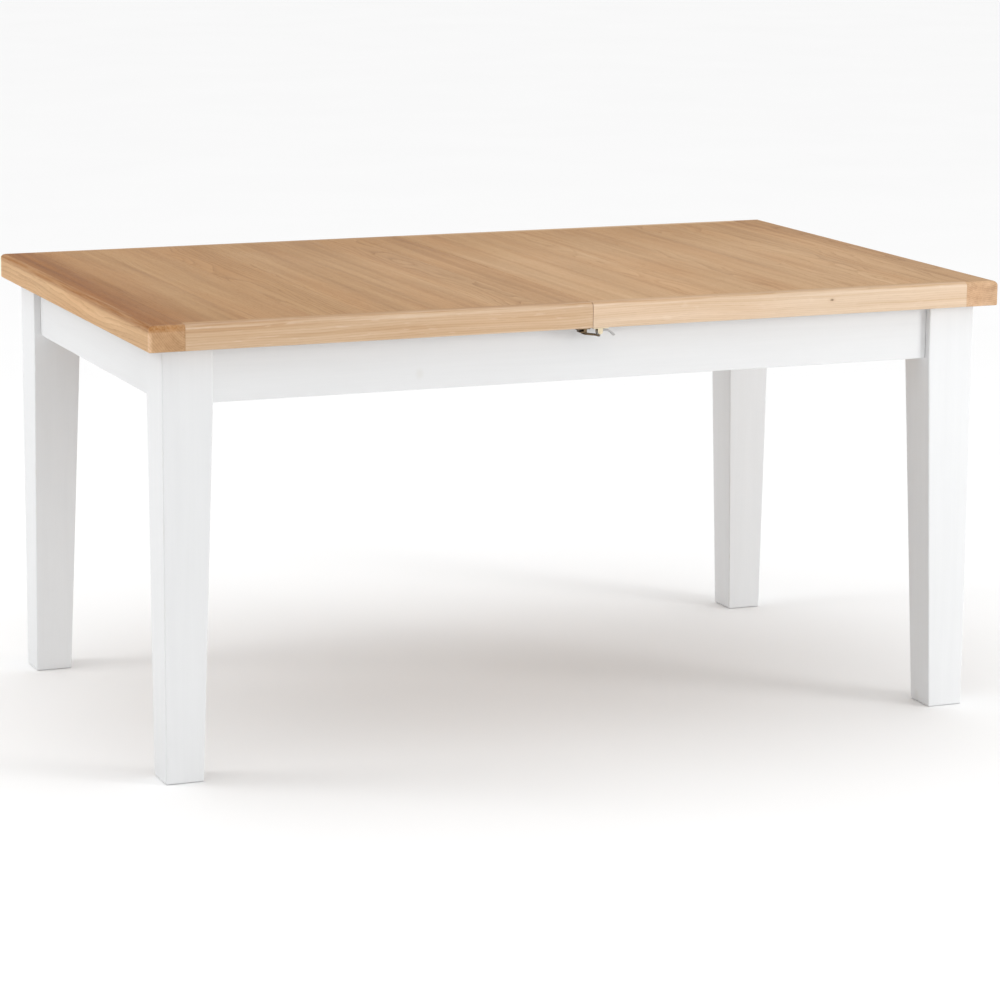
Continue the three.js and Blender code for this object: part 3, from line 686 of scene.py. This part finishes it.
def outer_corner(node, toward, outward):
    """The (x, y) of a CAD node's box that lies furthest toward its end and its long side."""
    low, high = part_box(node)
    return Vector((high.x if toward > 0 else low.x, high.y if outward > 0 else low.y))


def middle_of(node):
    low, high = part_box(node)
    return (low + high) / 2


# ---------------------------------------------------------------- table top


def level_rims(bm, z):
    return [e for e in bm.edges if all(abs(v.co.z - z) < 1e-6 for v in e.verts)]


def top_blank():
    """The whole closed top with its edges and corners rounded, before it is divided."""
    low = Vector((cad_low.x, cad_low.y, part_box("end_board_left")[0].z))
    bm = box_mesh(low, cad_high)
    round_edges(bm, level_rims(bm, cad_high.z), EDGE_ROUND, 8)
    round_edges(bm, level_rims(bm, low.z), LOWER_ARRIS, 3)
    corners = [
        e
        for e in sharp_edges(bm, 2)
        if all(abs((cad_high.x - abs(v.co.x)) - (cad_high.y - abs(v.co.y))) < 1e-5 for v in e.verts)
    ]
    return round_edges(bm, corners, CORNER_ROUND, 4)


def end_board(side, toward):
    node = f"end_board_{side}"
    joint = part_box(node)[1 if toward < 0 else 0].x
    bm = keep_side(top_blank(), (joint, 0, 0), (-toward, 0, 0), JOINT_ARRIS)
    tones = [END_BOARD_TONE[side]]
    piece(f"oak_{node}", bm, OAK, f"top_{side}", node, grain="y", tones=tones)


def lipping(edge, outward, side, toward):
    node = f"lipping_{edge}_{side}"
    low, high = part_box(node)
    joint, seam = (low.x, high.x) if toward < 0 else (high.x, low.x)
    inner = high.y if outward < 0 else low.y
    bm = keep_side(top_blank(), (joint, 0, 0), (toward, 0, 0), JOINT_ARRIS)
    keep_side(bm, (0, inner, 0), (0, -outward, 0), JOINT_ARRIS)
    keep_side(bm, (seam, 0, 0), (-toward, 0, 0), SEAM_ARRIS, 3)
    # The side's tone carries painted light: the right lippings paler, as the key falls from the right
    tones = [LIPPING_TONE[side]]
    piece(f"oak_{node}", bm, OAK_EDGE, f"top_{side}", node, grain="x", tones=tones)


def plank_edges(low, high):
    """Joints between the planks of a panel, from one end to the other."""
    narrow, wide = PLANK_WIDTHS
    places = [low]
    while high - places[-1] > wide + narrow:
        places.append(places[-1] + random.uniform(narrow, wide))
    rest = high - places[-1]
    if rest > wide:
        places.append(places[-1] + rest / 2)
    places.append(high)
    return places


def panel(side, toward):
    node = f"top_panel_{side}"
    low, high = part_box(node)
    places = plank_edges(low.x, high.x)
    seam = high.x if toward < 0 else low.x
    bm = bmesh.new()
    for left, right in zip(places, places[1:]):
        plank = box_mesh((left, low.y, low.z), (right, high.y, high.z))
        round_edges(plank, plank.edges[:], JOINT_ARRIS, 2, mark=False)
        if seam in (left, right):
            holes = [dowel_hole(place, toward) for place in ("front", "middle", "back")]
            plank = carved(plank, holes)
        join_into(bm, plank)
    spread = PLANK_TONE_SPREAD
    tones = [PANEL_TONE[side] + random.uniform(-spread, spread) for _ in places[1:]]
    if side == "left":
        tones[-1] -= SEAM_PLANK_DARKER
    piece(f"oak_panel_{side}", bm, OAK, f"top_{side}", node, grain="y", tones=tones)


def dowel_hole(place, toward):
    """From outside the panel's seam face to just past the dowel's end."""
    low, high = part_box(f"dowel_{place}")
    middle = middle_of(f"dowel_{place}")
    radius = (high.z - low.z) / 2 + HOLE_CLEARANCE
    reach = (high.x - low.x) / 2 + HOLE_CLEARANCE
    start = (-toward * PAST_FACE, middle.y, middle.z)
    return drill(start, (toward * reach, middle.y, middle.z), radius)


for side, toward in SIDES.items():
    end_board(side, toward)
    panel(side, toward)
    for edge, outward in EDGES.items():
        lipping(edge, outward, side, toward)


# ---------------------------------------------------------------- painted frame


def corner_chamfer(corner, inner, toward, outward):
    """The wedge that takes a leg's inner arris off behind the corner block."""
    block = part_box(f"corner_block_{corner}")[0].z
    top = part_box(f"leg_{corner}")[1].z + PAST_FACE
    reach, beyond = LEG_CHAMFER + MM, MM
    outline = [
        (inner.x + toward * reach, inner.y - outward * beyond),
        (inner.x - toward * beyond, inner.y - outward * beyond),
        (inner.x - toward * beyond, inner.y + outward * reach),
    ]
    return prism(*([(x, y, z) for x, y in outline] for z in (block, top)))


def bolt_hole(corner, toward, outward):
    node = f"corner_bolt_{corner}"
    along = Vector((toward, outward, 0)).normalized()
    tip = Vector((*outer_corner(node, toward, outward), middle_of(node).z))
    tip += along * (HOLE_CLEARANCE - BOLT_RADIUS)
    return drill(tip, tip - along * BOLT_HOLE_DEPTH, BOLT_RADIUS + HOLE_CLEARANCE)


def glide_holes(corner):
    """Room for the glide's disc and for its nail."""
    low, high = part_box(f"foot_glide_{corner}")
    foot = (low + high) / 2
    start = (foot.x, foot.y, -PAST_FACE)
    disc = drill(start, (foot.x, foot.y, GLIDE_THICKNESS), (high.x - low.x) / 2 + HOLE_CLEARANCE)
    nail_top = (foot.x, foot.y, high.z + HOLE_CLEARANCE)
    return [disc, drill(start, nail_top, NAIL_RADIUS + HOLE_CLEARANCE)]


def leg(edge, outward, side, toward):
    corner = f"{edge}_{side}"
    node = f"leg_{corner}"
    low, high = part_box(node)
    apron_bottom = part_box("apron_front")[0].z
    width = high.x - low.x
    outer = outer_corner(node, toward, outward)
    bm = bmesh.new()
    for z, breadth in ((low.z, LEG_FOOT), (apron_bottom, width), (high.z, width)):
        for dx in (0.0, breadth):
            for dy in (0.0, breadth):
                bm.verts.new((outer.x - toward * dx, outer.y - outward * dy, z))
    bmesh.ops.convex_hull(bm, input=bm.verts[:])
    flat = math.radians(0.5)
    bmesh.ops.dissolve_limit(bm, angle_limit=flat, verts=bm.verts[:], edges=bm.edges[:])
    round_edges(bm, sharp_edges(bm), LEG_ARRIS, 5)
    inner = outer - Vector((toward, outward)) * width
    chamfer = corner_chamfer(corner, inner, toward, outward)
    bm = carved(bm, [chamfer, bolt_hole(corner, toward, outward), *glide_holes(corner)])
    piece(f"painted_{node}", bm, PAINT, "frame", node, grain="z")


def apron(node, axis):
    low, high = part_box(node)
    bm = box_mesh(low, high)
    round_edges(bm, bm.edges[:], APRON_ARRIS, 4)
    piece(f"painted_{node}", bm, PAINT, "frame", node, grain=axis)


for edge, outward in EDGES.items():
    apron(f"apron_{edge}", "x")
    for side, toward in SIDES.items():
        leg(edge, outward, side, toward)
for side in SIDES:
    apron(f"apron_{side}", "y")


# ---------------------------------------------------------------- catches

# (x, z): the keeper and the pivot from the seam and the underside of the edge, the lever from its pivot
KEEPER_PLATE = {"near": -3 * MM, "far": -28 * MM, "thickness": 2 * MM}
KEEPER_HOOK = {
    "near": -9.5 * MM,
    "web": -15 * MM,
    "far": -21 * MM,
    "lip": -5.3 * MM,
    "drop": -7.5 * MM,
}
KEEPER_ARRIS = 0.35 * MM
LEVER_PIVOT = Vector((17 * MM, -8 * MM))
LEVER_CURVE = ((0, 2.9 * MM), (18 * MM, 4.2 * MM), (27.4 * MM, -7.4 * MM))
LEVER_CURVE_STEPS = 8
LEVER_TAIL_HALF = 1.5 * MM
LEVER_ARRIS = 0.3 * MM
LEVER_EYE, LEVER_BORE = 4.4 * MM, 2.15 * MM
LEVER_CROTCH = 0.4 * MM
LOOP_PIN = Vector((-2 * MM, -6 * MM))
LOOP_EYE, LOOP_BORE = 3.0 * MM, 1.7 * MM
LOOP_LENGTH, LOOP_HALF_WIDTH, LOOP_CORNER = 29 * MM, 8 * MM, 3 * MM
LOOP_WIRE = 1.1 * MM
LOOP_RISE = 8
LOOP_CORNER_STEPS, LOOP_WIRE_SIDES = 6, 12


def catch_place(offset):
    """The (x, z) in the frame of an offset from the seam and the underside of the edge."""
    return Vector((0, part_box("catch_keeper_front")[1].z)) + offset


def bar(outline, place, low, high, arris):
    """A bar along Y with this (x, z) outline about a place, with eased end edges."""
    rings = [[(place.x + x, y, place.y + z) for x, z in outline] for y in (low, high)]
    bm = prism(*rings)
    rims = [e for e in bm.edges if abs(e.verts[0].co.y - e.verts[1].co.y) < 1e-9]
    return round_edges(bm, rims, arris, 2, mark=False)


def arc(centre, radius, start, end, steps):
    turns = [math.radians(start + (end - start) * i / steps) for i in range(steps + 1)]
    return [(centre[0] + radius * math.cos(a), centre[1] + radius * math.sin(a)) for a in turns]


def keeper_outline():
    plate, hook = KEEPER_PLATE, KEEPER_HOOK
    face = -plate["thickness"]
    return [
        (plate["near"], 0),
        (plate["far"], 0),
        (plate["far"], face),
        (hook["web"], face),
        (hook["web"], hook["lip"]),
        (hook["far"], hook["lip"]),
        (hook["far"], hook["drop"]),
        (hook["near"], hook["drop"]),
        (hook["near"], face),
        (plate["near"], face),
    ]


def lever_outline():
    """Round the loop's eye, out under the finger tail, back over it and round the rivet's eye."""
    start, middle, end = (Vector(point) for point in LEVER_CURVE)
    under, over = [], []
    for step in range(LEVER_CURVE_STEPS + 1):
        t = step / LEVER_CURVE_STEPS
        at = start * (1 - t) ** 2 + middle * 2 * t * (1 - t) + end * t**2
        along = (middle - start) * (1 - t) + (end - middle) * t
        aside = Vector((-along.y, along.x)).normalized() * LEVER_TAIL_HALF
        under.append(tuple(at - aside))
        over.append(tuple(at + aside))
    outline = arc(LOOP_PIN, LOOP_EYE, 180, 360, 8) + [(LEVER_EYE, -LEVER_CROTCH)]
    outline += under[2:] + over[:0:-1]
    return outline + arc((0, 0), LEVER_EYE, 90, 180, 6)


def catch_keeper(edge):
    node = f"catch_keeper_{edge}"
    low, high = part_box(node)
    bm = bar(keeper_outline(), catch_place(Vector((0, 0))), low.y, high.y, KEEPER_ARRIS)
    # The keeper's brass is darkened with painted shade
    piece(f"keeper_{edge}", bm, SHADED_BRASS, "top_left", node)


def catch_lever(edge):
    node = f"catch_lever_{edge}"
    low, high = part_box(node)
    pivot = catch_place(LEVER_PIVOT)
    bm = bar(lever_outline(), pivot, low.y, high.y, LEVER_ARRIS)
    bores = []
    for at, radius in ((pivot, LEVER_BORE), (pivot + LOOP_PIN, LOOP_BORE)):
        bores.append(drill((at.x, low.y - MM, at.y), (at.x, high.y + MM, at.y), radius))
    piece(f"lever_{edge}", carved(bm, bores), STEEL, f"lever_{edge}", node)


def catch_loop(edge):
    """A ring of round wire whose near bar turns in the lever."""
    node = f"catch_loop_{edge}"
    near, far = -LOOP_CORNER, LOOP_CORNER - LOOP_LENGTH
    aside = LOOP_HALF_WIDTH - LOOP_CORNER
    corners = ((near, aside, 0), (far, aside, 90), (far, -aside, 180), (near, -aside, 270))
    around = [2 * math.pi * i / LOOP_WIRE_SIDES for i in range(LOOP_WIRE_SIDES)]
    bm = bmesh.new()
    rings = []
    for x, y, start in corners:
        for step in range(LOOP_CORNER_STEPS + 1):
            turn = math.radians(start + 90 * step / LOOP_CORNER_STEPS)
            out = Vector((math.cos(turn), math.sin(turn), 0))
            at = Vector((x, y, 0)) + out * LOOP_CORNER
            ring = [at + (out * math.cos(a) + Vector((0, 0, math.sin(a)))) * LOOP_WIRE for a in around]
            rings.append([bm.verts.new(point) for point in ring])
    for before, after in zip([rings[-1], *rings], rings):
        bridge(bm, before, after)
    pin = catch_place(LEVER_PIVOT + LOOP_PIN)
    place = Matrix.Translation((pin.x, middle_of(node).y, pin.y))
    place @= Matrix.Rotation(math.radians(LOOP_RISE), 4, "Y")
    bmesh.ops.transform(bm, matrix=place, verts=bm.verts[:])
    # The loop's brass is darkened with painted shade
    piece(f"loop_{edge}", bm, SHADED_BRASS, f"loop_{edge}", node)


for edge in EDGES:
    catch_keeper(edge)
    catch_lever(edge)
    catch_loop(edge)


# ---------------------------------------------------------------- CAD nodes kept as they are


def finish_node(node, material, arris):
    """Gives a CAD node its material, whole flat faces and eased edges."""
    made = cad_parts[node]
    made.data.materials.clear()
    made.data.materials.append(material)
    weld = made.modifiers.new("weld", "WELD")
    weld.merge_threshold = 0.02 * MM
    flat = made.modifiers.new("flat_faces", "DECIMATE")
    flat.decimate_type = "DISSOLVE"
    flat.angle_limit = math.radians(1.0)
    ease = made.modifiers.new("arris", "BEVEL")
    ease.width = arris
    ease.segments = 2
    ease.limit_method = "ANGLE"
    ease.angle_limit = math.radians(35)


NODE_FINISH = (
    ("corner_block", BEECH_Y, 0.8 * MM),
    ("corner_bolt", ZINC, 0.3 * MM),
    ("cross_rail", BEECH_Y, 0.6 * MM),
    ("slide_channel", ZINC, 0.3 * MM),
    ("runner", BEECH_X, 0.8 * MM),
    ("leaf_half", OAK_LEAF, 0.8 * MM),
    ("leaf_hinge", BRASS, 0.2 * MM),
    ("leaf_pivot", ZINC, 0.4 * MM),
    ("dowel", BEECH_X, 0.5 * MM),
    ("foot_glide", NYLON, 0.5 * MM),
    ("catch_base", PALE_BRASS, 0.2 * MM),
)

for start, material, arris in NODE_FINISH:
    for node in sorted(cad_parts):
        if node.startswith(start):
            finish_node(node, material, arris)


# ---------------------------------------------------------------- screws


# A pan head of radius 1: how far out and how high its outline runs, and its cross recess
HEAD_PROFILE = ((1.0, 0.0), (1.0, 0.14), (0.92, 0.30), (0.74, 0.44), (0.48, 0.52), (0.22, 0.55))
HEAD_SIDES = 24
RECESS_REACH, RECESS_HALF_WIDTH, RECESS_FLOOR = 0.58, 0.11, 0.26
SCREW_SINK = 0.05 * MM
WOOD_SCREW = 3.5 * MM
CATCH_SCREW = 2.2 * MM

RAIL_SCREW_ASIDE, RAIL_SCREW_IN = 9 * MM, 17 * MM
BLOCK_SCREW_ASIDE = 50 * MM
PIVOT_SCREW_ASIDE = 9 * MM
BRACKET_SCREW_IN, PIN_SCREW_IN = 6 * MM, 10 * MM
RUNNER_SCREWS = (0.08, 0.36, 0.64, 0.92)
CATCH_SCREW_IN = 4 * MM


def screw_head(radius):
    """A pan head with a cross recess, standing on the origin."""
    around = [2 * math.pi * i / HEAD_SIDES for i in range(HEAD_SIDES)]
    bm = bmesh.new()
    rings = [
        [bm.verts.new((out * math.cos(a), out * math.sin(a), rise)) for a in around]
        for out, rise in HEAD_PROFILE
    ]
    for lower, upper in zip(rings, rings[1:]):
        bridge(bm, lower, upper)
    bm.faces.new(rings[0][::-1])
    bm.faces.new(rings[-1])
    reach, half = RECESS_REACH, RECESS_HALF_WIDTH
    arms = [
        box_mesh((-x, -y, RECESS_FLOOR), (x, y, 1.0)) for x, y in ((reach, half), (half, reach))
    ]
    bm = carved(bm, arms)
    bmesh.ops.scale(bm, vec=(radius, radius, radius), verts=bm.verts[:])
    return bm


def screws(name, body, radius, places):
    """Screw heads at these places, each on a face that looks along its direction."""
    template = screw_head(radius)
    bm = bmesh.new()
    for at, facing in places:
        facing = Vector(facing)
        turn = facing.to_track_quat("Z", "Y").to_matrix().to_4x4()
        turn @= Matrix.Rotation(random.uniform(0, math.pi), 4, "Z")
        head = template.copy()
        seat = Matrix.Translation(Vector(at) - facing * SCREW_SINK)
        bmesh.ops.transform(head, matrix=seat @ turn, verts=head.verts[:])
        join_into(bm, head)
    template.free()
    piece(name, bm, ZINC, body)


def rail_screws(side):
    node = f"cross_rail_{side}"
    low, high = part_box(node)
    middle = middle_of(node).x
    return [
        ((middle + aside, outward * (high.y - RAIL_SCREW_IN), low.z), (0, 0, -1))
        for outward in EDGES.values()
        for aside in (-RAIL_SCREW_ASIDE, RAIL_SCREW_ASIDE)
    ]


def block_screws(edge, outward, side, toward):
    """On the slanted face of a corner block that looks to the table's middle."""
    node = f"corner_block_{edge}_{side}"
    out = Vector((toward, outward, 0)).normalized()
    along = Vector((toward, -outward, 0)).normalized()
    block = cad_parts[node]
    corners = [block.matrix_world @ v.co for v in block.data.vertices]
    face = min(p.dot(out) for p in corners)
    ends = [p.dot(along) for p in corners if p.dot(out) < face + 0.1 * MM]
    middle = out * face + along * (min(ends) + max(ends)) / 2
    middle.z = middle_of(node).z
    asides = (-BLOCK_SCREW_ASIDE, BLOCK_SCREW_ASIDE)
    return [(middle + along * aside, -out) for aside in asides]


def pivot_screws(side, toward):
    """On the outer end of the leaf's bracket and the inner end of its pin's plate."""
    places = []
    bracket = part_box(f"leaf_pivot_bracket_{side}")
    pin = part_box(f"leaf_pivot_pin_{side}")
    level = middle_of(f"leaf_pivot_bracket_{side}").y
    for aside in (-PIVOT_SCREW_ASIDE, PIVOT_SCREW_ASIDE):
        foot = max(abs(bracket[0].x), abs(bracket[1].x)) - BRACKET_SCREW_IN
        places.append(((toward * foot, level + aside, bracket[0].z + PIVOT_PLATE), (0, 0, 1)))
        foot = min(abs(pin[0].x), abs(pin[1].x)) + PIN_SCREW_IN
        places.append(((toward * foot, level + aside, pin[0].z + PIVOT_PLATE), (0, 0, 1)))
    return places


def frame_screws():
    places = []
    for side, toward in SIDES.items():
        places += rail_screws(side)
        for edge, outward in EDGES.items():
            places += block_screws(edge, outward, side, toward)
        places += pivot_screws(side, toward)
    screws("frame_screws", "frame", WOOD_SCREW, places)


def half_screws(side, toward):
    places = []
    for edge, outward in EDGES.items():
        low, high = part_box(f"runner_{edge}_{side}")
        inner = low.y if outward > 0 else high.y
        for share in RUNNER_SCREWS:
            along = low.x + (high.x - low.x) * share
            places.append(((along, inner + outward * RUNNER_THICKNESS / 2, low.z), (0, 0, -1)))
    screws(f"runner_screws_{side}", f"top_{side}", WOOD_SCREW, places)

    places = []
    for edge in EDGES:
        node = f"catch_keeper_{edge}" if toward < 0 else f"catch_base_{edge}"
        low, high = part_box(node)
        middle = middle_of(node).y
        for along in (low.x + CATCH_SCREW_IN, high.x - CATCH_SCREW_IN):
            places.append(((along, middle, high.z - CATCH_PLATE), (0, 0, -1)))
    screws(f"catch_screws_{side}", f"top_{side}", CATCH_SCREW, places)


frame_screws()
for side, toward in SIDES.items():
    half_screws(side, toward)


# ---------------------------------------------------------------- floor, light and camera


def floor():
    mesh = bpy.data.meshes.new("studio_floor")
    reach = FLOOR_REACH
    corners = [(-reach, -reach, 0), (reach, -reach, 0), (reach, reach, 0), (-reach, reach, 0)]
    mesh.from_pydata(corners, [], [(0, 1, 2, 3)])
    tree = material_tree("pale_floor")
    cloud = tree.noise(tree.place(), 1.5, 3.0, 0.5)
    colour = tree.ramp(cloud, [(0.3, (0.905, 0.905, 0.905)), (0.7, (0.915, 0.915, 0.915))])
    mesh.materials.append(tree.set(Base_Color=colour, Roughness=0.9, Specular_IOR_Level=0.05))
    linked("studio_floor", mesh)


def sky():
    """Bright overhead, dim to the sides, with a pale rim behind the floor for low views."""
    tree = Tree(bpy.data.worlds.new("studio_world"), "Background")
    height = tree.axes(tree.coordinate("Generated"))["Z"]
    rise = tree.window(height, 0.0, 1.0, SKY_HORIZON, SKY_OVERHEAD)
    rim = tree.window(height, *SKY_RIM_FADE, SKY_RIM, 0.0)
    strength = tree.math("ADD", rise, rim)
    bpy.context.scene.world = tree.set(Color=(1.0, 1.0, 1.0, 1.0), Strength=strength)


def softbox(name, place, size, power):
    light = bpy.data.lights.new(name, "AREA")
    light.shape = "DISK"
    light.size = size
    light.energy = power
    lamp = linked(name, light)
    lamp.location = place
    lamp.rotation_euler = (LIGHT_AIM - lamp.location).to_track_quat("-Z", "Y").to_euler()


def camera():
    data = bpy.data.cameras.new("camera")
    data.lens = CAMERA_LENS
    data.shift_x, data.shift_y = CAMERA_SHIFT
    made = linked("camera", data)
    turn = (
        Matrix.Rotation(math.radians(CAMERA_AZIMUTH), 4, "Z")
        @ Matrix.Rotation(math.radians(90 - CAMERA_TILT), 4, "X")
        @ Matrix.Rotation(math.radians(CAMERA_ROLL), 4, "Z")
    )
    made.rotation_euler = turn.to_euler()
    made.location = CAMERA_PLACE
    bpy.context.scene.camera = made


floor()
sky()
for settings in SOFTBOXES:
    softbox(*settings)
camera()
bpy.context.scene.view_settings.view_transform = "Standard"
